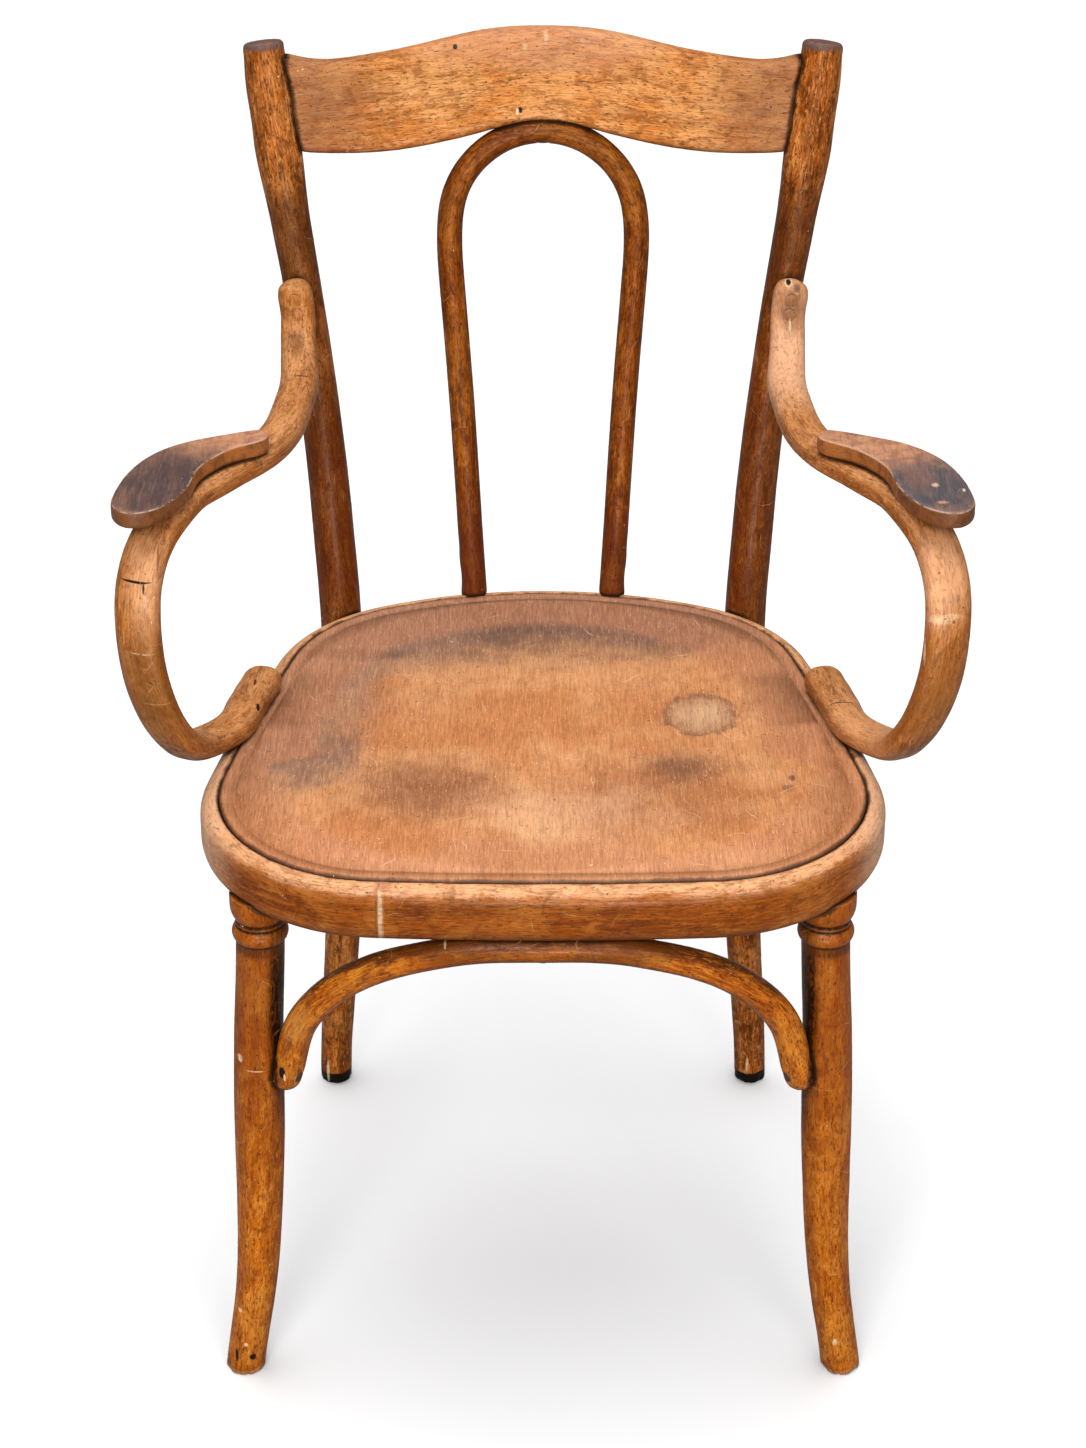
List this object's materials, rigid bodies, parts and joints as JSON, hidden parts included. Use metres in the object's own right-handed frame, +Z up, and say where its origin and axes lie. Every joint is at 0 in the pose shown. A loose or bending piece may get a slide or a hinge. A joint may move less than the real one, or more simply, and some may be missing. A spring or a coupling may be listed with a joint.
{
  "type": "cafe armchair",
  "caption": "Vintage bentwood cafe armchair in worn orange-brown beech, with curled arms, shaped arm pads, a hoop back under a curved crest rail and a bent brace below the seat.",
  "frame": {"origin": "on the floor under the middle of the chair's bounding box", "axes": "+X to the right seen from the front, the front of the chair faces -Y, +Z up"},
  "size_m": [0.5868, 0.5337, 0.8866],
  "materials": {
    "beech_varnished": "worn satin varnish, orange-brown",
    "beech_tan": "worn satin varnish, lighter tan",
    "seat_plywood": "rubbed varnish with grey-brown dirt",
    "pad_dark": "dark brown stain worn to blue-black at the front",
    "steel_dull": "dull, browned with age"
  },
  "bodies": {
    "root": {"seat_frame": "beech_varnished", "seat_panel": "seat_plywood", "right_back_post": "beech_varnished", "left_back_post": "beech_varnished", "right_front_leg": "beech_varnished", "left_front_leg": "beech_varnished", "crest_rail": "beech_varnished", "back_hoop": "beech_varnished", "front_brace": "beech_varnished", "right_arm": "beech_tan", "left_arm": "beech_tan", "right_arm_pad": "pad_dark", "left_arm_pad": "pad_dark", "post_bolts": "steel_dull", "post_bolt_washers": "steel_dull", "post_bolt_nuts": "steel_dull", "leg_lock_screws": "steel_dull", "crest_pins": "steel_dull", "hoop_crest_screw": "steel_dull", "brace_leg_screws": "steel_dull", "brace_centre_screw": "steel_dull", "arm_post_screws": "steel_dull", "arm_seat_screws": "steel_dull", "arm_pad_screws": "steel_dull", "panel_brads": "steel_dull"}
  },
  "joints": []
}
